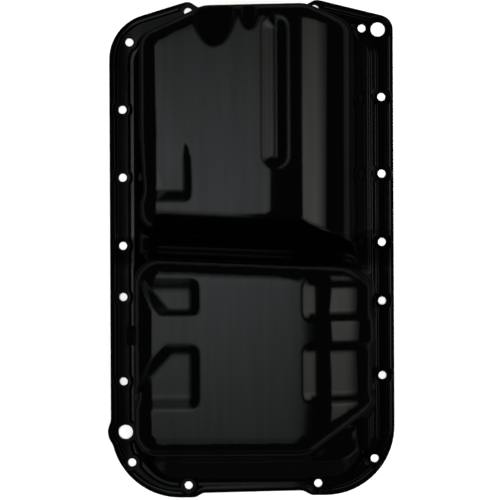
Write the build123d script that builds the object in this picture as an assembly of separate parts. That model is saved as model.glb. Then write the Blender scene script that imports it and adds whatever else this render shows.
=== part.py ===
from build123d import *
from collections import namedtuple
import math
import os

# Engine oil pan, drawn from one steel sheet, with a welded drain boss and a drain plug.
# It stands on its gasket face (Z = 0). +Z is outward through the sump floor, +Y is the front
# of the engine and +X the side away from the drain plug. Millimetres throughout.

# Sheet
SHEET = 1.5                      # thickness of the drawn steel

# Flange
EDGE_LEFT = -119.1               # straight side edges of the flange
EDGE_RIGHT = 121.6
EDGE_REAR = -210.9
EDGE_FRONT = 210.9
FLANGE_OUTLINE = (               # (X, Y, radius of the rounded corner) from the rear left
    (EDGE_LEFT, EDGE_REAR, 58.7),
    (-47.5, EDGE_REAR, 10.0),
    (-41.1, -207.1, 8.0),
    (43.6, -205.3, 8.0),
    (51.0, -209.3, 9.0),
    (EDGE_RIGHT, -209.3, 58.7),
    (EDGE_RIGHT, 195.3, 12.5),
    (56.5, 211.36, 7.4),
    (46.5, 206.2, 8.0),
    (-43.0, 204.6, 8.0),
    (-51.5, 210.4, 7.8),
    (EDGE_LEFT, 189.8, 38.9),
)
CHANNEL_HEIGHT = 1.6             # top of the channel the screws stand in
RIDGE_HEIGHT = 3.0               # top of the rolled ridge and of the inner step
RIDGE_INSET = 3.0                # outer edge to the crest of the rolled ridge
CHANNEL_INSET = 6.4              # outer edge to the foot of the ridge
LIP_WIDTH = 0.8                  # flat lip left under the outer edge
STEP_WIDTH = 4.2                 # raised step between the channel and the tub wall
STEP_REAR = ((-97.3, -196.9), (102.5, -195.9))
STEP_CORNERS = (38.0, 38.0, 22.0, 22.0, 22.0, 22.0, 16.0, 16.0)
SLOPE = 45.0                     # lean of the ridge and step sides

# Screw holes in the flange
SCREW_HOLE_RADIUS = 3.5
LARGE_HOLE_RADIUS = 6.15
SEAT_MARGIN = 3.5                # flat seat left round every hole
COLUMN_LEFT = -108.1
COLUMN_RIGHT = 111.7
LEFT_PITCHES = (118.4, 60.8, 2.9, -40.5, -112.2)
RIGHT_PITCHES = (128.4, 63.3, 5.3, -44.5, -107.8)
FRONT_SCREWS = ((-52.1, 201.4), (55.4, 203.5))
REAR_SCREWS = ((-53.3, -200.7), (56.7, -199.3))
CORNER_SCREWS = ((-102.0, 175.7), (-101.2, -181.0), (104.7, -178.4), (95.3, 186.7))
LARGE_HOLES = ((108.9, 185.7), (-106.6, -155.1))
LARGE_LOBE_RADIUS = 15.0
LARGE_LOBE_BLEND = 11.0
POCKET_TOP = 20.0                # the rear wall is pocketed clear of its two screws up to here

# Shallow tub: outline of its wall at the gasket face, corner by corner from the rear left.
# Its rear wall leans in far more than the others.
TUB_FRONT = (
    (102.5, 173.5),
    (80.0, 190.0),
    (45.5, 201.9),
    (-38.0, 200.3),
    (-85.5, 178.7),
    (-97.3, 163.5),
)
TUB_OUTLINE = ((-97.3, -200.5), (102.5, -199.5)) + TUB_FRONT
TUB_DRAFTS = (39.3, 5.4, 4.0, 4.0, 4.0, 4.0, 4.0, 9.0)
TUB_CORNERS = (38.0, 38.0, 22.0, 22.0, 22.0, 22.0, 16.0, 16.0)
TUB_DEPTH = 62.0                 # depth of the shallow front floor
SADDLE_REAR = (-168.7, 32.0)     # (Y, Z) corners of the saddle between the floors
SADDLE_LOW = (-14.0, 20.0)
SADDLE_KNEE = (6.0, 32.0)        # where the saddle turns up to the front floor
SADDLE_CREST = 17.7              # Y where it reaches the front floor
SADDLE_TURN = 2.0                # the saddle runs this many degrees off square
SADDLE_KNEE_RADIUS = 3.0
SADDLE_CREST_RADIUS = 18.0
TUB_ROUND_START = 29.5           # X where the front floor starts to roll down
TUB_ROUND_RADIUS = 75.0
TUB_ROUND_TURN = 36.0            # degrees of that roll
TUB_SIDE_RADIUS = 30.0
TUB_SIDE_LEAN = 63.0             # degrees from level of the leaning side below the roll

# Deep sump: outline of its wall carried down to the gasket face, from the rear left
SUMP_OUTLINE = (
    (-99.0, -180.6),
    (51.3, -180.6),
    (104.6, -141.1),
    (104.6, -6.5),
    (-99.0, 2.2),
)
SUMP_DRAFTS = (11.7, 11.7, 5.4, 3.0, 5.4)
SUMP_CORNERS = (18.0, 25.0, 20.0, 30.0, 20.0)
SUMP_DEPTH = 155.0
SUMP_ROUND_START = 47.0
SUMP_ROUND_RADIUS = 71.0
SUMP_ROUND_TURN = 60.0
SUMP_SIDE_RADIUS = 61.0
SUMP_SIDE_LEAN = 75.0

# Bend radii, outside of the sheet
FLOOR_EDGE_RADIUS = 14.0
JOINT_RADIUS = 2.0               # hollow bend where the sump rises from the saddle
ROOT_SIZE = 0.6                  # bevel where the tub wall rises from the step
ROOT_SINK = 0.8                  # how far that bevel runs on inside the wall

# Sunk pads in the floors: the skin sinks by PAD_DEPTH, with sloped walls.
# Each pad is (rim, foot) across the pan, then (edge, full, full, edge) from front to rear.
PAD_DEPTH = 3.0
PAD_OVERCUT = 0.4               # how far a pad's cutting body stands clear of the skin
PAD_FADE = 22.0                  # height over which a pad runs out down a side wall
PAD_LAG = 0.5                    # a pad's bends start this far past those of the skin
RIGHT_PAD_RIM = (37.4, 46.5)
LEFT_PAD_RIM = (-37.8, -43.6)
FRONT_PAD_RIM = (-47.6, -52.7)
RIGHT_PADS = ((-19.5, -29.0, -46.0, -52.9), (-68.0, -74.5, -105.0, -112.0))
LEFT_PADS = ((-20.9, -29.6, -43.2, -48.3), (-69.1, -76.2, -107.0, -115.6))
FRONT_PAD = (88.0, 49.0, 47.5, 37.5)
RIGHT_PAD_RUN = 59.0             # how far a pad runs down the side wall before it fades out
LEFT_PAD_RUN = 21.0
FRONT_PAD_RUN = 18.0
RIGHT_PAD_BASE = SUMP_DEPTH - RIGHT_PAD_RUN
LEFT_PAD_BASE = SUMP_DEPTH - LEFT_PAD_RUN
FRONT_PAD_BASE = TUB_DEPTH - FRONT_PAD_RUN

# The rib between the left pads widens towards the drain plug: (corner on the rim, far corner)
FLARES = (((-65.2, -48.2), (-74.8, -36.7)), ((-63.1, -71.2), (-73.2, -81.9)))
FLARE_RUN = 7.7                  # level run of the flare's sloped side

# Stiffening groove and the two front reliefs
GROOVE_CENTRE = 20.1
GROOVE_FRONT = 186.0
GROOVE_REAR = 64.3
GROOVE_WIDTH = 20.0
GROOVE_DEPTH = 3.5
GROOVE_FLAT = 3.0                # width left level at the bottom of the groove
RELIEFS = (                      # (X, Y where it starts, radius, fall in degrees)
    (-28.4, 161.0, 24.0, 17.0),
    (-0.3, 174.5, 8.0, 20.0),
)

# Drain: a flat pressed into the left wall, a boss welded inside, a washer and a hexagon plug
DRAIN_Y = -63.4
DRAIN_DROP = 19.5                # from the deep floor back to the plug's axis
DRAIN_HEIGHT = SUMP_DEPTH - DRAIN_DROP
DRAIN_FACE = -83.2               # X of the pressed flat
DRAIN_FLAT_RADIUS = 12.0
DRAIN_HOLE_RADIUS = 6.6
BOSS_RADIUS = 10.5
BOSS_LENGTH = 11.0
BOSS_CHAMFER = 1.0
THREAD_RADIUS = 6.0
SHANK_CLEARANCE = 0.05
WASHER_RADIUS = 9.5
WASHER_THICKNESS = 1.5
HEAD_FLATS = 14.0
HEAD_HEIGHT = 6.0
HEAD_CROWN = 0.8
SHANK_LENGTH = 16.0
SHANK_CHAMFER = 1.0


def draft_outline(corners, drafts, height, inset):
    """Corners of an outline at a height: each side leans in by its draft and in by the inset."""
    sides = []
    for index, draft in enumerate(drafts):
        start = Vector(*corners[index])
        end = Vector(*corners[(index + 1) % len(corners)])
        along = (end - start).normalized()
        inward = Vector(-along.Y, along.X)
        lean = math.radians(draft)
        sides.append((start + inward * (height * math.tan(lean) + inset / math.cos(lean)), along))
    placed = []
    for index in range(len(sides)):
        first, along = sides[index - 1]
        second, other = sides[index]
        gap = second - first
        run = (gap.X * other.Y - gap.Y * other.X) / (along.X * other.Y - along.Y * other.X)
        placed.append(first + along * run)
    return placed


def drafted_block(corners, drafts, radii, depth, inset):
    """Solid block between the gasket face and the depth, with leaning sides and rounded corners."""
    rings = []
    for height in (0.0, depth - inset):
        ring = draft_outline(corners, drafts, height, inset)
        rings.append(Wire.make_polygon([Vector(point.X, point.Y, height) for point in ring]))
    block = Solid.make_loft(rings, ruled=True)
    middle = (depth - inset) / 2
    for point, radius in zip(draft_outline(corners, drafts, middle, inset), radii):
        target = Vector(point.X, point.Y, middle)
        corner = min(block.edges(), key=lambda edge: (edge.center() - target).length)
        block = block.fillet(radius - inset, [corner])
    return block


def roll_profile(inset, depth, start, radius, turn, side_radius, side_lean):
    """Solid under a section across the pan: level floor, rolled down to +X, then a leaning side."""
    turn_angle = math.radians(turn)
    lean_angle = math.radians(side_lean)
    middle_angle = (turn_angle + lean_angle) / 2
    centre = Vector(start, depth - radius)
    side_centre = centre + Vector(math.sin(turn_angle), math.cos(turn_angle)) * (radius - side_radius)

    def on_roll(angle):
        return centre + Vector(math.sin(angle), math.cos(angle)) * (radius - inset)

    def on_side(angle):
        return side_centre + Vector(math.sin(angle), math.cos(angle)) * (side_radius - inset)

    last = on_side(lean_angle)
    below = -10.0
    foot = Vector(last.X + (last.Y - below) / math.tan(lean_angle), below)
    far = 2 * EDGE_LEFT
    with BuildSketch(Plane.XZ) as section:
        with BuildLine():
            Polyline((far, below), (far, depth - inset), (start, depth - inset))
            ThreePointArc(on_roll(0), on_roll(turn_angle / 2), on_roll(turn_angle))
            ThreePointArc(on_roll(turn_angle), on_side(middle_angle), last)
            Polyline(last, foot, (far, below))
        make_face()
    return extrude(section.sketch, amount=2 * EDGE_FRONT, both=True)


def saddle_profile(inset):
    """Solid under the section along the tub: saddle, steep rise and front floor."""
    rise = math.atan2(TUB_DEPTH - SADDLE_KNEE[1], SADDLE_CREST - SADDLE_KNEE[0])
    shift = inset * math.tan(rise / 2)
    high = TUB_DEPTH - inset
    far = 2 * EDGE_FRONT
    below = -10.0
    points = (
        (-far, SADDLE_REAR[1] - inset),
        (SADDLE_REAR[0], SADDLE_REAR[1] - inset),
        (SADDLE_LOW[0], SADDLE_LOW[1] - inset),
        (SADDLE_KNEE[0] + shift, SADDLE_KNEE[1] - inset),
        (SADDLE_CREST + shift, high),
        (far, high),
    )
    bends = (0, 0, SADDLE_KNEE_RADIUS + inset, SADDLE_CREST_RADIUS - inset)
    with BuildSketch(Plane.YZ) as section:
        with BuildLine():
            FilletPolyline(*points, radius=bends)
            Polyline(points[-1], (far, below), (-far, below), points[0])
        make_face()
    solid = extrude(section.sketch, amount=2 * EDGE_RIGHT, both=True)
    return solid.rotate(Axis.Z, -SADDLE_TURN)


def floor_edges(body):
    """Edges where an upward face meets a wall face."""
    tilts = [(face.normal_at(0.5, 0.5).Z, face.edges()) for face in body.faces()]
    found = []
    for edge in body.edges():
        sides = [tilt for tilt, ring in tilts if any(edge.is_same(other) for other in ring)]
        if len(sides) == 2 and max(sides) > 0.3 and -0.5 < min(sides) < 0.3:
            found.append(edge)
    return found


def tub_body(inset):
    """Shallow tub with its front floor and the saddle behind it."""
    block = drafted_block(TUB_OUTLINE, TUB_DRAFTS, TUB_CORNERS, TUB_DEPTH, inset)
    roll = roll_profile(
        inset, TUB_DEPTH, TUB_ROUND_START, TUB_ROUND_RADIUS,
        TUB_ROUND_TURN, TUB_SIDE_RADIUS, TUB_SIDE_LEAN,
    )
    body = (block & roll & saddle_profile(inset)).solids()[0]
    return body.fillet(FLOOR_EDGE_RADIUS - inset, floor_edges(body))


def sump_body(inset):
    """Deep sump, standing on the gasket plane."""
    block = drafted_block(SUMP_OUTLINE, SUMP_DRAFTS, SUMP_CORNERS, SUMP_DEPTH, inset)
    roll = roll_profile(
        inset, SUMP_DEPTH, SUMP_ROUND_START, SUMP_ROUND_RADIUS,
        SUMP_ROUND_TURN, SUMP_SIDE_RADIUS, SUMP_SIDE_LEAN,
    )
    body = (block & roll).solids()[0]
    return body.fillet(FLOOR_EDGE_RADIUS - inset, floor_edges(body))


def joined_body(inset):
    """Tub and sump as one body, with the bend where the sump rises from the saddle."""
    tub = tub_body(inset)
    sump = sump_body(inset)
    body = tub.fuse(sump).solids()[0]
    joint = []
    for edge in body.edges():
        middle = Vertex(*edge.position_at(0.5))
        low_end = min(edge.position_at(0).Z, edge.position_at(1).Z)
        if low_end < 1 or middle.Z > TUB_DEPTH or middle.Y < SADDLE_REAR[0] / 2:
            continue
        if tub.distance_to(middle) < 1e-3 and sump.distance_to(middle) < 1e-3:
            joint.append(edge)
    return body.fillet(JOINT_RADIUS + inset, joint)


Skin = namedtuple("Skin", "side depth wall draft roll_start roll_radius")
SUMP_RIGHT = Skin(
    1, SUMP_DEPTH, SUMP_OUTLINE[2][0], SUMP_DRAFTS[2], SUMP_ROUND_START, SUMP_ROUND_RADIUS
)
SUMP_LEFT = Skin(-1, SUMP_DEPTH, -SUMP_OUTLINE[0][0], SUMP_DRAFTS[4], None, None)
TUB_LEFT = Skin(-1, TUB_DEPTH, -TUB_OUTLINE[0][0], TUB_DRAFTS[7], None, None)


def pad_wire(skin, rims, y, sunk, inset, base):
    """Closed outline across the pan that follows one side of the skin, sunk by some depth."""
    draft = math.radians(skin.draft)
    offset = inset + sunk
    level = skin.depth - offset
    if skin.roll_radius is None:
        centre_z = skin.depth - FLOOR_EDGE_RADIUS
        centre_x = skin.wall - centre_z * math.tan(draft) - FLOOR_EDGE_RADIUS / math.cos(draft)
    else:
        reach = skin.roll_radius - FLOOR_EDGE_RADIUS
        roll_z = skin.depth - skin.roll_radius
        angle = math.radians(45)
        for _ in range(30):
            centre_z = roll_z + reach * math.cos(angle)
            centre_x = skin.wall - centre_z * math.tan(draft) - FLOOR_EDGE_RADIUS / math.cos(draft)
            angle = math.asin((centre_x - skin.roll_start) / reach)

    def spot(x, z):
        return Vector(skin.side * x, y, z)

    def on_edge(turn):
        radius = FLOOR_EDGE_RADIUS - offset
        return spot(centre_x + radius * math.sin(turn), centre_z + radius * math.cos(turn))

    def on_wall(z, out):
        return spot(skin.wall - z * math.tan(draft) - (inset + out) / math.cos(draft), z)

    rim, foot = (abs(rims[0]), abs(rims[1]))
    rise = sunk + PAD_OVERCUT
    run = (foot - rim) * PAD_OVERCUT / PAD_DEPTH
    top = skin.depth + 15.0
    far = skin.wall + 15.0
    path = [Edge.make_line(spot(rim - run, top), spot(rim - run, level + rise))]
    path.append(Edge.make_line(spot(rim - run, level + rise), spot(foot, level)))
    lag = PAD_LAG / FLOOR_EDGE_RADIUS
    wall_turn = math.pi / 2 - draft - lag
    if skin.roll_radius is None:
        edge_turn = lag
        path.append(Edge.make_line(spot(foot, level), on_edge(lag)))
    else:
        edge_turn = angle + lag
        radius = skin.roll_radius - offset
        roll_lag = PAD_LAG / skin.roll_radius

        def on_roll(turn):
            return spot(skin.roll_start + radius * math.sin(turn), roll_z + radius * math.cos(turn))

        path.append(Edge.make_line(spot(foot, level), on_roll(roll_lag)))
        bend = (on_roll(roll_lag), on_roll(angle / 2), on_edge(edge_turn))
        path.append(Edge.make_three_point_arc(*bend))
    middle = (edge_turn + wall_turn) / 2
    path.append(Edge.make_three_point_arc(on_edge(edge_turn), on_edge(middle), on_edge(wall_turn)))
    low = base - PAD_FADE
    corners = [on_edge(wall_turn), on_wall(base, sunk), on_wall(low, -PAD_OVERCUT)]
    corners += [spot(far, low), spot(far, top), spot(rim - run, top)]
    path += [Edge.make_line(start, end) for start, end in zip(corners, corners[1:])]
    return Wire(path)


def pad_cutter(skin, rims, ends, inset, base):
    """Solid that sinks one pad, its front and rear walls sloping up to the skin."""
    front, front_full, rear_full, rear = ends
    over = PAD_OVERCUT / PAD_DEPTH
    stations = (
        (front + (front - front_full) * over, -PAD_OVERCUT),
        (front_full, PAD_DEPTH),
        (rear_full, PAD_DEPTH),
        (rear - (rear_full - rear) * over, -PAD_OVERCUT),
    )
    wires = [pad_wire(skin, rims, y, sunk, inset, base) for y, sunk in stations]
    return Solid.make_loft(wires, ruled=True)


def flare_keep(flare, inset):
    """Block that keeps the floor unsunk beside one diagonal side of a left pad."""
    near = Vector(*flare[0])
    along = (Vector(*flare[1]) - near).normalized()
    across = Vector(along.Y, -along.X)
    if across.X < 0:
        across = across * -1
    level = SUMP_DEPTH - inset
    over = 2.0
    rings = []
    for height, shift in (
        (level + over, -over * FLARE_RUN / PAD_DEPTH),
        (level - PAD_DEPTH, FLARE_RUN),
        (0.0, FLARE_RUN),
    ):
        start = near - along * 20 + across * shift
        ring = (start, start + along * 100, start + along * 100 - across * 60, start - across * 60)
        rings.append(Wire.make_polygon([Vector(point.X, point.Y, height) for point in ring]))
    return Solid.make_loft(rings, ruled=True)


def pad_cutters(inset):
    """Every sunk pad."""
    cutters = [
        pad_cutter(SUMP_RIGHT, RIGHT_PAD_RIM, ends, inset, RIGHT_PAD_BASE) for ends in RIGHT_PADS
    ]
    for ends, flare in zip(LEFT_PADS, FLARES):
        cutter = pad_cutter(SUMP_LEFT, LEFT_PAD_RIM, ends, inset, LEFT_PAD_BASE)
        cutters.append(cutter.cut(flare_keep(flare, inset)))
    cutters.append(pad_cutter(TUB_LEFT, FRONT_PAD_RIM, FRONT_PAD, inset, FRONT_PAD_BASE))
    return cutters


def groove_cutter(inset):
    """Straight stiffening groove with sloped sides in the front floor."""
    level = TUB_DEPTH - inset
    slope = (GROOVE_WIDTH - GROOVE_FLAT) / (2 * GROOVE_DEPTH)
    middle = (GROOVE_FRONT + GROOVE_REAR) / 2
    rings = []
    for height in (level + PAD_OVERCUT, level - GROOVE_DEPTH):
        width = GROOVE_FLAT + 2 * slope * (height - level + GROOVE_DEPTH)
        length = GROOVE_FRONT - GROOVE_REAR - GROOVE_WIDTH
        slot = SlotCenterToCenter(length, width, rotation=90)
        rings.append(Pos(GROOVE_CENTRE, middle, height) * slot.face().outer_wire())
    return Solid.make_loft(rings, ruled=True)


def relief_cutter(centre, start, radius, fall, inset):
    """Round-bottomed relief that falls towards the front wall."""
    lean = math.radians(fall)
    axis_height = TUB_DEPTH + radius / math.cos(lean)
    direction = Vector(0, math.cos(lean), -math.sin(lean))
    origin = Vector(centre, start, axis_height) - direction * 30
    return Solid.make_cylinder(radius + inset, 130, Plane(origin, z_dir=direction))


def drain_cutter(inset):
    """Flat pressed into the left wall for the drain plug."""
    depth = 12.0
    radius = DRAIN_FLAT_RADIUS
    plane = Plane((DRAIN_FACE + inset, DRAIN_Y, DRAIN_HEIGHT), z_dir=(-1, 0, 0))
    return Solid.make_cone(radius, radius + depth, depth, plane)


def pressed_body(inset):
    """Whole drawn form of the pan at one skin."""
    cutters = pad_cutters(inset) + [groove_cutter(inset), drain_cutter(inset)]
    cutters += [relief_cutter(*relief, inset) for relief in RELIEFS]
    return joined_body(inset).cut(*cutters).solids()[0]


def rounded_outline(corners, radii, inset):
    """Plan outline with rounded corners, moved inwards by the inset."""
    ring = draft_outline(corners, [0.0] * len(corners), 0.0, inset)
    bends = []
    for index, radius in enumerate(radii):
        before = Vector(*corners[index]) - Vector(*corners[index - 1])
        after = Vector(*corners[(index + 1) % len(corners)]) - Vector(*corners[index])
        hollow = before.X * after.Y < before.Y * after.X
        bends.append(radius + inset if hollow else radius - inset)
    with BuildSketch() as plan:
        with BuildLine():
            FilletPolyline(*ring, radius=bends, close=True)
        make_face()
    return plan.sketch.face()


def flange_outline(inset):
    """Plan outline of the flange with the round lobe beside the rear left locating hole."""
    corners = [(x, y) for x, y, _ in FLANGE_OUTLINE]
    radii = [radius for _, _, radius in FLANGE_OUTLINE]
    lobe = Vector(*LARGE_HOLES[1])
    reach = LARGE_LOBE_RADIUS - inset
    with BuildSketch() as plan:
        add(rounded_outline(corners, radii, inset))
        with Locations(lobe):
            Circle(reach)
        hollows = [
            vertex for vertex in plan.vertices()
            if (lobe - Vector(vertex.X, vertex.Y)).length < reach + 0.1
        ]
        fillet(hollows, LARGE_LOBE_BLEND + inset)
    return plan.sketch.face()


def step_outline(grow):
    """Plan outline of the step round the tub wall, grown outwards."""
    return rounded_outline(STEP_REAR + TUB_FRONT, STEP_CORNERS, -grow)


def sloped(face, start, end, taper):
    """Solid on a plan face from one height to another; its sides lean in by the taper."""
    way = (0, 0, math.copysign(1, end - start))
    return extrude(Pos(0, 0, start) * face, amount=abs(end - start), dir=way, taper=taper)


def hole_places():
    """Centre and radius of every hole in the flange."""
    screws = [(COLUMN_LEFT, y) for y in LEFT_PITCHES] + [(COLUMN_RIGHT, y) for y in RIGHT_PITCHES]
    screws += FRONT_SCREWS + REAR_SCREWS + CORNER_SCREWS
    places = [(x, y, SCREW_HOLE_RADIUS) for x, y in screws]
    return places + [(x, y, LARGE_HOLE_RADIUS) for x, y in LARGE_HOLES]


def seat_cones(bottom, height, grow):
    """Cones over the flat seats round the flange holes, opening upwards."""
    cones = []
    for x, y, radius in hole_places():
        foot = radius + SEAT_MARGIN + grow
        cones.append(Solid.make_cone(foot, foot + height, height, Plane((x, y, bottom))))
    return cones


def flange_plate():
    """Flange with its rolled outer ridge, the channel the screws stand in and the inner step."""
    rise = RIDGE_HEIGHT - CHANNEL_HEIGHT
    over = 0.5
    lean = math.degrees(math.atan2(RIDGE_INSET, rise))
    outline = flange_outline(0.0)
    plate = sloped(outline, 0, CHANNEL_HEIGHT, 0) + sloped(outline, CHANNEL_HEIGHT, RIDGE_HEIGHT, lean)
    inner = flange_outline(CHANNEL_INSET - rise - over)
    channel = sloped(inner, RIDGE_HEIGHT + over, CHANNEL_HEIGHT, SLOPE)
    step = sloped(step_outline(STEP_WIDTH + rise), CHANNEL_HEIGHT, RIDGE_HEIGHT + 2 * over, SLOPE)
    return plate - (channel - step)


def flange_hollows():
    """Hollows under the rolled ridge and the step, which keep the flange one sheet thick."""
    back = SHEET * math.sqrt(2)
    over = 0.2
    rim = SHEET / math.cos(math.atan2(RIDGE_HEIGHT - CHANNEL_HEIGHT, RIDGE_INSET))
    crest = RIDGE_INSET * (rim + SHEET - CHANNEL_HEIGHT) / (RIDGE_HEIGHT - CHANNEL_HEIGHT)
    lean = math.degrees(math.atan2(crest - LIP_WIDTH, SHEET))
    groove = sloped(flange_outline(LIP_WIDTH), 0, SHEET, lean)
    foot = CHANNEL_INSET + CHANNEL_HEIGHT - back
    core = sloped(flange_outline(foot - SHEET - over), SHEET + over, -over, SLOPE)
    step = sloped(step_outline(STEP_WIDTH + RIDGE_HEIGHT - back), 0, SHEET, SLOPE)
    hollow = (groove - core) + step
    for cone in seat_cones(0, SHEET + over, back - CHANNEL_HEIGHT):
        hollow = hollow - cone
    return hollow


def rear_pockets(bottom, grow):
    """Cylinders that clear the rear wall from the seats of the two rear screws."""
    radius = SCREW_HOLE_RADIUS + SEAT_MARGIN + grow
    height = POCKET_TOP - bottom
    return [Solid.make_cylinder(radius, height, Plane((x, y, bottom))) for x, y in REAR_SCREWS]


def pan_shell():
    """The whole drawn sheet."""
    root = sloped(step_outline(ROOT_SIZE), RIDGE_HEIGHT, RIDGE_HEIGHT + ROOT_SIZE + ROOT_SINK, SLOPE)
    rim = (flange_plate() + root).cut(*seat_cones(CHANNEL_HEIGHT, 2 * RIDGE_HEIGHT, 0.0))
    body = (rim + pressed_body(0.0)).solids()[0]
    cuts = rear_pockets(CHANNEL_HEIGHT, 0.0)
    for x, y, radius in hole_places():
        cuts.append(Solid.make_cylinder(radius, 4 * RIDGE_HEIGHT, Plane((x, y, -RIDGE_HEIGHT))))
    cuts += flange_hollows().solids()
    cuts.append(drain_cylinder(DRAIN_HOLE_RADIUS, DRAIN_FACE - 5, 20))
    cuts.append(pressed_body(SHEET).cut(*rear_pockets(-RIDGE_HEIGHT, SHEET)))
    return body.cut(*cuts).solids()[0]


def drain_cylinder(radius, start, length):
    """Cylinder on the drain's axis, running inwards from an X."""
    return Solid.make_cylinder(radius, length, Plane((start, DRAIN_Y, DRAIN_HEIGHT), z_dir=(1, 0, 0)))


def drain_boss():
    """Threaded boss welded inside the drain flat."""
    start = DRAIN_FACE + SHEET
    boss = drain_cylinder(BOSS_RADIUS, start, BOSS_LENGTH)
    boss = boss.chamfer(BOSS_CHAMFER, None, [boss.edges().sort_by(Axis.X)[-1]])
    return (boss - drain_cylinder(THREAD_RADIUS, start, BOSS_LENGTH)).solids()[0]


def drain_washer():
    """Flat sealing washer under the plug's head."""
    start = DRAIN_FACE - WASHER_THICKNESS
    ring = drain_cylinder(WASHER_RADIUS, start, WASHER_THICKNESS)
    return (ring - drain_cylinder(THREAD_RADIUS, start, WASHER_THICKNESS)).solids()[0]


def drain_plug():
    """Hexagon-headed drain plug."""
    start = DRAIN_FACE - WASHER_THICKNESS
    across = Plane((start, DRAIN_Y, DRAIN_HEIGHT), x_dir=(0, 0, 1), z_dir=(-1, 0, 0))
    hexagon = across * RegularPolygon(HEAD_FLATS / 2, 6, major_radius=False)
    head = extrude(hexagon, amount=HEAD_HEIGHT)
    corner = HEAD_FLATS / math.sqrt(3)
    crown = Solid.make_cone(corner + HEAD_HEIGHT, corner - HEAD_CROWN, HEAD_HEIGHT + HEAD_CROWN, across)
    shank = drain_cylinder(THREAD_RADIUS - SHANK_CLEARANCE, start, SHANK_LENGTH)
    shank = shank.chamfer(SHANK_CHAMFER, None, [shank.edges().sort_by(Axis.X)[-1]])
    return ((head & crown) + shank).solids()[0]


os.makedirs("parts", exist_ok=True)
for name, part in (
    ("pan_shell", pan_shell()),
    ("drain_boss", drain_boss()),
    ("drain_washer", drain_washer()),
    ("drain_plug", drain_plug()),
):
    export_step(part, f"parts/{name}.step")
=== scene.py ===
import math

import bmesh
import bpy
from bpy.props import FloatProperty, StringProperty, PointerProperty
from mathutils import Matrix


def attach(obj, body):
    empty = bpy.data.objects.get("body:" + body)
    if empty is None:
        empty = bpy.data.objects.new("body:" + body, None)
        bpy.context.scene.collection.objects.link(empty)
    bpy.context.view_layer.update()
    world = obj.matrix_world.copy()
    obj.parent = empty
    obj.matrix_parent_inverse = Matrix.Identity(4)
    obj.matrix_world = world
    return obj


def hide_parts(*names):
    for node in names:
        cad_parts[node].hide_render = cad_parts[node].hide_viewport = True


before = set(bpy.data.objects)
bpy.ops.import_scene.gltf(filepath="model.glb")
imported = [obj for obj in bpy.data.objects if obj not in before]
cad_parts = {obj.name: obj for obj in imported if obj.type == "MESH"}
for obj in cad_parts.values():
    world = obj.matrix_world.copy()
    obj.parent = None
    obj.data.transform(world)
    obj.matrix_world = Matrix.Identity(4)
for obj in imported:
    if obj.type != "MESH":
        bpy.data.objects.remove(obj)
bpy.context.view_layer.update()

bl_info = {
    "name": "Engine oil pan finish",
    "version": (1, 0, 0),
    "blender": (4, 5, 0),
    "location": "View3D > Sidebar > Oil Pan",
    "description": "Finishes the drawn steel oil pan, its drain plug and the studio round them",
    "category": "Object",
}

MM = 0.001
CREASE = math.radians(11)               # two drawn surfaces that turn more than this meet sharply
MERGE = 0.002 * MM                      # corners nearer than this are one
PLUG_AXIS = (-63.4 * MM, 135.5 * MM)    # Y and Z of the drain plug's axis
SHANK_START = -84.6 * MM                # X just inside the plug's head, where the shank begins
THREAD_PITCH = 1.5 * MM
THREAD_DEPTH = 0.9 * MM                 # for the height of half a pitch
RIPPLE_WIDTH = 45 * MM                  # slow ripples of the pressed sheet
PEEL_WIDTH = 2.5 * MM                   # orange peel, drawn wide so that it shows
MARK_SIZE = (6 * MM, 90 * MM, 90 * MM)  # draw marks, which run along the pan
DUST_CELL = 30 * MM
FALL_SIDES = (12 * MM, 42 * MM)         # X between which the front floor falls
FALL_REAR = (10 * MM, 16 * MM)          # Y over which that fall begins
FALL_DEPTH = 0.9 * MM


# Values a user would change

class PaintSettings(bpy.types.PropertyGroup):
    colour: StringProperty(
        name="Enamel colour", description="sRGB hex value of the black enamel", default="0b0c0d")
    roughness: FloatProperty(
        name="Roughness", description="Roughness of the enamel", default=0.06, min=0, max=1)
    bend: FloatProperty(
        name="Bend radius", description="Rounding of the small bends in the floors and walls",
        default=4.5 * MM, precision=5, subtype="DISTANCE", unit="LENGTH")
    flange_bend: FloatProperty(
        name="Flange bend radius", description="Rounding of the small bends in the flange",
        default=1.4 * MM, precision=5, subtype="DISTANCE", unit="LENGTH")
    ripple: FloatProperty(
        name="Ripple", description="Height of the slow ripples left by pressing",
        default=0.05 * MM, precision=6, subtype="DISTANCE", unit="LENGTH")
    peel: FloatProperty(
        name="Orange peel", description="Height of the enamel's fine orange peel",
        default=0.004 * MM, precision=6, subtype="DISTANCE", unit="LENGTH")


class StudioSettings(bpy.types.PropertyGroup):
    floor_colour: StringProperty(
        name="Floor colour", description="sRGB hex value of the pale floor", default="f4f4f2")
    camera_height: FloatProperty(
        name="Camera height", description="Camera above the gasket face",
        default=1.0, subtype="DISTANCE", unit="LENGTH")
    field: FloatProperty(
        name="Field", description="Width seen at the gasket face",
        default=0.425, subtype="DISTANCE", unit="LENGTH")


def linear(hexa):
    """Linear colour of an sRGB hex value."""
    values = [int(hexa[i:i + 2], 16) / 255 for i in (0, 2, 4)]
    return [v / 12.92 if v <= 0.04045 else ((v + 0.055) / 1.055) ** 2.4 for v in values] + [1.0]


def node(tree, kind, links=(), **settings):
    """Adds a node. Settings named in_X set its socket X; links are (socket, source node, source socket)."""
    made = tree.nodes.new(kind)
    for name, value in settings.items():
        if name.startswith("in_"):
            key = name[3:]
            made.inputs[int(key) if key.isdigit() else key.replace("_", " ")].default_value = value
        else:
            setattr(made, name, value)
    for socket, source, output in links:
        tree.links.new(source.outputs[output], made.inputs[socket])
    return made


def select_only(obj):
    """Leaves one object selected and active."""
    bpy.ops.object.select_all(action="DESELECT")
    obj.select_set(True)
    bpy.context.view_layer.objects.active = obj


def fresh(name):
    """New material and its empty node tree."""
    material = bpy.data.materials.new(name)
    material.use_nodes = True
    material.node_tree.nodes.clear()
    return material, material.node_tree


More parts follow.
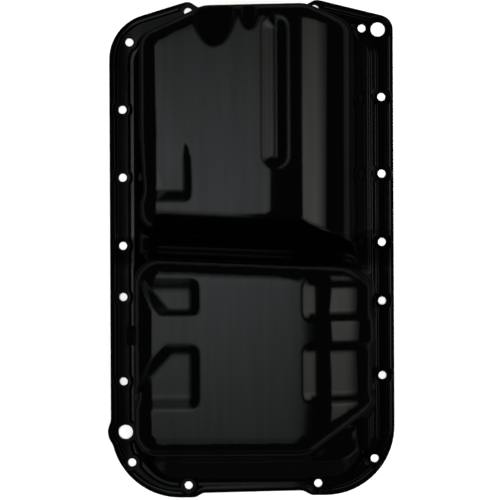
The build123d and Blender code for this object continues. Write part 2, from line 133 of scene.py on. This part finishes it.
def ramp(tree, source, output, start, stop, low=0.0, high=1.0, kind="LINEAR"):
    """Runs from low to high while the source's output runs from start to stop."""
    return node(tree, "ShaderNodeMapRange", [("Value", source, output)], interpolation_type=kind,
                in_From_Min=start, in_From_Max=stop, in_To_Min=low, in_To_Max=high)


def times(tree, first, second):
    """Product of the first outputs of two nodes."""
    return node(tree, "ShaderNodeMath", [(0, first, 0), (1, second, 0)], operation="MULTIPLY")


def less_from_one(tree, source):
    """One less the first output of a node."""
    return node(tree, "ShaderNodeMath", [(1, source, 0)], operation="SUBTRACT", in_0=1.0)


def bumped(tree, height, distance, below=None):
    """Surface normal raised by the first output of a node, over the normal of another node."""
    links = [("Height", height, 0)]
    if below:
        links.append(("Normal", below, "Normal"))
    return node(tree, "ShaderNodeBump", links, in_Strength=1.0, in_Distance=distance)


def sheet_normal(tree, place, split, paint):
    """Normal of the drawn sheet: rounded bends, ripples, the fall before the roll, orange peel."""
    radius = ramp(tree, split, "Z", 4 * MM, 20 * MM, paint.flange_bend, paint.bend)
    bend = node(tree, "ShaderNodeBevel", [("Radius", radius, "Result")], samples=8)
    ripple = node(tree, "ShaderNodeTexNoise", [("Vector", place, "Object")],
                  in_Scale=1 / RIPPLE_WIDTH, in_Detail=1.0, in_Roughness=0.4)
    wave = bumped(tree, ripple, paint.ripple, bend)
    # the front floor begins to fall a little before its roll
    fall = ramp(tree, split, "X", *FALL_SIDES, 0.0, -FALL_DEPTH, "SMOOTHSTEP")
    front = ramp(tree, split, "Y", *FALL_REAR)
    crown = bumped(tree, times(tree, fall, front), 1.0, wave)
    peel = node(tree, "ShaderNodeTexNoise", [("Vector", place, "Object")],
                in_Scale=1 / PEEL_WIDTH, in_Detail=1.0)
    return bumped(tree, peel, paint.peel, crown)


def sheen_and_painted_shade(tree, place, split):
    """Specular level: dull on the flange's faces, uneven along draw marks, and lowered as painted shade
    where the two floors meet.
    """
    flange = ramp(tree, split, "Z", 2 * MM, 3 * MM, 0.24, 0.5)
    drawn = node(tree, "ShaderNodeMapping", [("Vector", place, "Object")],
                 in_Scale=[1 / size for size in MARK_SIZE])
    marks = node(tree, "ShaderNodeTexNoise", [("Vector", drawn, "Vector")],
                 in_Scale=1.0, in_Detail=2.0)
    uneven = ramp(tree, marks, "Fac", 0.3, 0.7, 0.93, 1.07)
    # painted shade: the specular level is cut in a box where the two floors meet, so that crease reflects
    # darker
    behind = ramp(tree, split, "Y", -18 * MM, -10 * MM)
    before = ramp(tree, split, "Y", 8 * MM, 12 * MM, 1.0, 0.0)
    low = ramp(tree, split, "Z", 36 * MM, 44 * MM, 0.65, 0.0)
    valley_painted_shade = times(tree, times(tree, behind, before), low)
    return times(tree, times(tree, flange, uneven), less_from_one(tree, valley_painted_shade))


def dusted_colour(tree, place, paint):
    """Enamel colour with a speck of dust in every fourth cell or so."""
    cells = node(tree, "ShaderNodeTexVoronoi", [("Vector", place, "Object")],
                 in_Scale=1 / DUST_CELL)
    chosen = node(tree, "ShaderNodeSeparateXYZ", [("Vector", cells, "Color")])
    rare = node(tree, "ShaderNodeMath", [(0, chosen, "X")], operation="LESS_THAN", in_1=0.25)
    speck = node(tree, "ShaderNodeMath", [(0, cells, "Distance")], operation="LESS_THAN",
                 in_1=0.02)
    dust = times(tree, rare, speck)
    return node(tree, "ShaderNodeMix", [("Factor", dust, "Value")], data_type="RGBA",
                in_6=linear(paint.colour), in_7=linear("5c5e5e"))


def enamel():
    """Gloss black stoving enamel, dipped and baked on pressed steel."""
    paint = bpy.context.scene.oil_pan_paint
    material, tree = fresh("black_stoving_enamel")
    place = node(tree, "ShaderNodeTexCoord")
    split = node(tree, "ShaderNodeSeparateXYZ", [("Vector", place, "Object")])
    shader = node(tree, "ShaderNodeBsdfPrincipled",
                  [("Normal", sheet_normal(tree, place, split, paint), "Normal"),
                   ("Specular IOR Level", sheen_and_painted_shade(tree, place, split), "Value"),
                   ("Base Color", dusted_colour(tree, place, paint), "Result")],
                  in_Roughness=paint.roughness, in_IOR=1.5)
    node(tree, "ShaderNodeOutputMaterial", [("Surface", shader, "BSDF")])
    return material


def thread_height(tree, split):
    """Height of the screw thread round the drain plug's axis, from 0 to 0.5."""
    side = node(tree, "ShaderNodeMath", [(0, split, "Y")], operation="SUBTRACT", in_1=PLUG_AXIS[0])
    rise = node(tree, "ShaderNodeMath", [(0, split, "Z")], operation="SUBTRACT", in_1=PLUG_AXIS[1])
    turn = node(tree, "ShaderNodeMath", [(0, side, "Value"), (1, rise, "Value")],
                operation="ARCTAN2")
    part = node(tree, "ShaderNodeMath", [(0, turn, "Value")], operation="DIVIDE", in_1=math.tau)
    along = node(tree, "ShaderNodeMath", [(0, split, "X")], operation="DIVIDE", in_1=THREAD_PITCH)
    total = node(tree, "ShaderNodeMath", [(0, part, "Value"), (1, along, "Value")],
                 operation="ADD")
    return node(tree, "ShaderNodeMath", [(0, total, "Value")], operation="PINGPONG", in_1=0.5)


def zinc(tree, links=()):
    """Shader of turned steel under thin bright zinc."""
    return node(tree, "ShaderNodeBsdfPrincipled", links,
                in_Base_Color=linear("a9abab"), in_Metallic=1.0, in_Roughness=0.35)


def bright_steel():
    """Bright zinc on turned steel, for the welded boss."""
    material, tree = fresh("bright_zinc_steel")
    node(tree, "ShaderNodeOutputMaterial", [("Surface", zinc(tree), "BSDF")])
    return material


def plug_black():
    """Black enamel on the plug's head, with a bright threaded shank."""
    paint = bpy.context.scene.oil_pan_paint
    material, tree = fresh("black_enamel_plug")
    place = node(tree, "ShaderNodeTexCoord")
    split = node(tree, "ShaderNodeSeparateXYZ", [("Vector", place, "Object")])
    inside = node(tree, "ShaderNodeMath", [(0, split, "X")], operation="GREATER_THAN",
                  in_1=SHANK_START)
    bend = node(tree, "ShaderNodeBevel", samples=6, in_Radius=0.5 * MM)
    enamelled = node(tree, "ShaderNodeBsdfPrincipled", [("Normal", bend, "Normal")],
                     in_Base_Color=linear(paint.colour), in_Roughness=0.2, in_IOR=1.5)
    cut = bumped(tree, thread_height(tree, split), THREAD_DEPTH)
    bare = zinc(tree, [("Normal", cut, "Normal")])
    both = node(tree, "ShaderNodeMixShader",
                [("Fac", inside, "Value"), (1, enamelled, "BSDF"), (2, bare, "BSDF")])
    node(tree, "ShaderNodeOutputMaterial", [("Surface", both, "Shader")])
    return material


def face_groups(mesh):
    """Number of the drawn surface that each triangle belongs to: triangles that share a corner."""
    parent = list(range(len(mesh.vertices)))

    def root(index):
        while parent[index] != index:
            parent[index] = parent[parent[index]]
            index = parent[index]
        return index

    for face in mesh.polygons:
        first = root(face.vertices[0])
        for corner in face.vertices[1:]:
            parent[root(corner)] = first
    return [root(face.vertices[0]) for face in mesh.polygons]


class OBJECT_OT_pan_shell_finish(bpy.types.Operator):
    """Makes the enamelled sheet from the drawn shell"""
    bl_idname = "oil_pan.shell_finish"
    bl_label = "Enamelled shell"

    def execute(self, context):
        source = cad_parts["pan_shell"]
        shell = bpy.data.objects.new("pan_shell_finish", source.data.copy())
        context.collection.objects.link(shell)
        mesh = shell.data
        if mesh.has_custom_normals:
            select_only(shell)
            bpy.ops.mesh.customdata_custom_splitnormals_clear()
        surface = mesh.attributes.new("surface", "INT", "FACE")
        surface.data.foreach_set("value", face_groups(mesh))
        select_only(shell)
        bpy.ops.object.mode_set(mode="EDIT")
        bpy.ops.mesh.select_all(action="SELECT")
        bpy.ops.mesh.remove_doubles(threshold=MERGE)
        bpy.ops.object.mode_set(mode="OBJECT")
        form = bmesh.new()
        form.from_mesh(mesh)
        layer = form.faces.layers.int["surface"]
        for face in form.faces:
            face.smooth = True
        for edge in form.edges:
            faces = edge.link_faces
            if len(faces) != 2:
                edge.smooth = False
            elif faces[0][layer] != faces[1][layer]:
                edge.smooth = edge.calc_face_angle(0.0) < CREASE
        form.to_mesh(mesh)
        form.free()
        mesh.attributes.remove(mesh.attributes["surface"])
        weight = shell.modifiers.new("weighted", "WEIGHTED_NORMAL")
        weight.keep_sharp = True
        bpy.ops.object.modifier_apply(modifier="weighted")
        mesh.materials.clear()
        mesh.materials.append(enamel())
        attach(shell, "pan")
        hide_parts("pan_shell")
        return {"FINISHED"}


class OBJECT_OT_drain_finish(bpy.types.Operator):
    """Gives the drain boss, washer and plug their finish"""
    bl_idname = "oil_pan.drain_finish"
    bl_label = "Drain pieces"

    def execute(self, context):
        finishes = (
            ("drain_boss", bright_steel()),
            ("drain_washer", bpy.data.materials["black_stoving_enamel"]),
            ("drain_plug", plug_black()),
        )
        for name, material in finishes:
            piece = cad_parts[name]
            piece.data.materials.clear()
            piece.data.materials.append(material)
        return {"FINISHED"}


def studio_air():
    """Dark room with a dim band under the horizon, open behind the pan."""
    world = bpy.data.worlds.new("studio_air")
    world.use_nodes = True
    tree = world.node_tree
    place = node(tree, "ShaderNodeTexCoord")
    split = node(tree, "ShaderNodeSeparateXYZ", [("Vector", place, "Generated")])
    bottom = ramp(tree, split, "Z", -0.48, -0.36)
    top = ramp(tree, split, "Z", -0.04, 0.04, 1.0, 0.0)
    aside = node(tree, "ShaderNodeMath", [(0, split, "X")], operation="ABSOLUTE")
    narrow = ramp(tree, aside, "Value", 0.35, 0.5, 1.0, 0.0)
    rear = node(tree, "ShaderNodeMath", [(0, split, "Y")], operation="LESS_THAN", in_1=0.0)
    under = ramp(tree, split, "Z", -0.1, -0.02, 1.0, 0.0)
    gap = times(tree, times(tree, narrow, rear), under)
    glow = times(tree, times(tree, bottom, top), less_from_one(tree, gap))
    strength = ramp(tree, glow, "Value", 0.0, 1.0, 0.02, 0.13)
    back = tree.nodes["Background"]
    back.inputs["Color"].default_value = (1, 1, 1, 1)
    tree.links.new(strength.outputs["Result"], back.inputs["Strength"])
    return world


def pale_floor(studio):
    """Matt pale floor just under the gasket face, lit by a lamp of its own."""
    bpy.ops.mesh.primitive_plane_add(size=6.0, location=(0, 0, -0.5 * MM))
    floor = bpy.context.object
    floor.name = "studio_floor"
    floor.visible_glossy = False
    floor.visible_diffuse = False
    material = bpy.data.materials.new("pale_floor")
    material.use_nodes = True
    shader = material.node_tree.nodes["Principled BSDF"]
    shader.inputs["Base Color"].default_value = linear(studio.floor_colour)
    shader.inputs["Roughness"].default_value = 0.9
    floor.data.materials.append(material)
    fill = bpy.data.lights.new("floor_fill", "AREA")
    fill.shape = "DISK"
    fill.size = 3.0
    fill.energy = 120.0
    lamp = bpy.data.objects.new("floor_fill", fill)
    bpy.context.collection.objects.link(lamp)
    lamp.location = (0, 0, 2.5)
    lamp.visible_glossy = False
    lit = bpy.data.collections.new("lit_floor")
    lit.objects.link(floor)
    lamp.light_linking.receiver_collection = lit


# Softboxes: name, lean from overhead, distance, width, ends along the pan, colour, radiance,
# and the X between which the right side fades out
SOFTBOXES = (
    ("zenith_box", -2.4, 1.5, 0.327, (-1.13, 0.86), "e4ecee", 1.04, (-0.1, 0.5)),
    ("rim_strip", -9.2, 1.5, 0.026, (-1.1, 1.1), "ffffff", 1.4, (0.0, 9.0)),
    ("warm_box", 38.2, 1.4, 0.813, (-0.42, 0.52), "eff2e8", 1.25, (0.86, 1.24)),
)
GLOW_MIDDLE = 0.06      # Y where every softbox is brightest
GLOW_REACH = 0.6        # how far from there it has faded


def cloth_glow(tree, fading):
    """Fades a softbox along the pan and towards its right, as cloth lit from behind."""
    spot = node(tree, "ShaderNodeNewGeometry")
    split = node(tree, "ShaderNodeSeparateXYZ", [("Vector", spot, "Position")])
    offset = node(tree, "ShaderNodeMath", [(0, split, "Y")], operation="SUBTRACT",
                  in_1=GLOW_MIDDLE)
    away = node(tree, "ShaderNodeMath", [(0, offset, "Value")], operation="ABSOLUTE")
    along = ramp(tree, away, "Value", 0.0, GLOW_REACH, 1.0, 0.3, "SMOOTHSTEP")
    across = ramp(tree, split, "X", *fading, 1.0, 0.12, "SMOOTHSTEP")
    glow = times(tree, along, across)
    tree.links.new(glow.outputs["Value"], tree.nodes["Emission"].inputs["Strength"])


def softbox(name, lean, distance, width, ends, colour, radiance, fading):
    """Rectangular light on an arc over the pan, facing its middle line."""
    light = bpy.data.lights.new(name, "AREA")
    light.shape = "RECTANGLE"
    light.size = width
    light.size_y = ends[1] - ends[0]
    light.color = linear(colour)[:3]
    light.energy = radiance * math.pi * light.size * light.size_y
    light.use_nodes = True
    cloth_glow(light.node_tree, fading)
    lamp = bpy.data.objects.new(name, light)
    bpy.context.collection.objects.link(lamp)
    angle = math.radians(lean)
    middle = (ends[0] + ends[1]) / 2
    lamp.location = (distance * math.sin(angle), middle, distance * math.cos(angle))
    lamp.rotation_euler = (0, angle, 0)


def overhead_camera(studio):
    """Camera straight above the pan."""
    lens = bpy.data.cameras.new("studio_camera")
    lens.sensor_width = 36.0
    lens.lens = lens.sensor_width * studio.camera_height / studio.field
    lens.clip_start = 0.01
    camera = bpy.data.objects.new("studio_camera", lens)
    bpy.context.collection.objects.link(camera)
    camera.location = (-0.35 * MM, -1.1 * MM, studio.camera_height)
    camera.rotation_euler = (0, 0, math.radians(-0.26))
    return camera


class OBJECT_OT_studio(bpy.types.Operator):
    """Sets the pale floor, the softboxes and the camera over the pan"""
    bl_idname = "oil_pan.studio"
    bl_label = "Studio"

    def execute(self, context):
        studio = context.scene.oil_pan_studio
        pale_floor(studio)
        for box in SOFTBOXES:
            softbox(*box)
        context.scene.world = studio_air()
        context.scene.camera = overhead_camera(studio)
        context.scene.view_settings.view_transform = "Standard"
        return {"FINISHED"}


class VIEW3D_PT_oil_pan(bpy.types.Panel):
    bl_label = "Oil Pan"
    bl_idname = "VIEW3D_PT_oil_pan"
    bl_space_type = "VIEW_3D"
    bl_region_type = "UI"
    bl_category = "Oil Pan"

    def draw(self, context):
        for group in (context.scene.oil_pan_paint, context.scene.oil_pan_studio):
            for name in group.bl_rna.properties.keys():
                if name not in ("rna_type", "name"):
                    self.layout.prop(group, name)
        for operator in OPERATORS:
            self.layout.operator(operator.bl_idname)


OPERATORS = (OBJECT_OT_pan_shell_finish, OBJECT_OT_drain_finish, OBJECT_OT_studio)
CLASSES = (PaintSettings, StudioSettings) + OPERATORS + (VIEW3D_PT_oil_pan,)


def register():
    for kind in CLASSES:
        bpy.utils.register_class(kind)
    bpy.types.Scene.oil_pan_paint = PointerProperty(type=PaintSettings)
    bpy.types.Scene.oil_pan_studio = PointerProperty(type=StudioSettings)


def unregister():
    del bpy.types.Scene.oil_pan_studio
    del bpy.types.Scene.oil_pan_paint
    for kind in reversed(CLASSES):
        bpy.utils.unregister_class(kind)


def main():
    register()
    bpy.ops.oil_pan.shell_finish()
    bpy.ops.oil_pan.drain_finish()
    bpy.ops.oil_pan.studio()


if __name__ == "__main__":
    main()
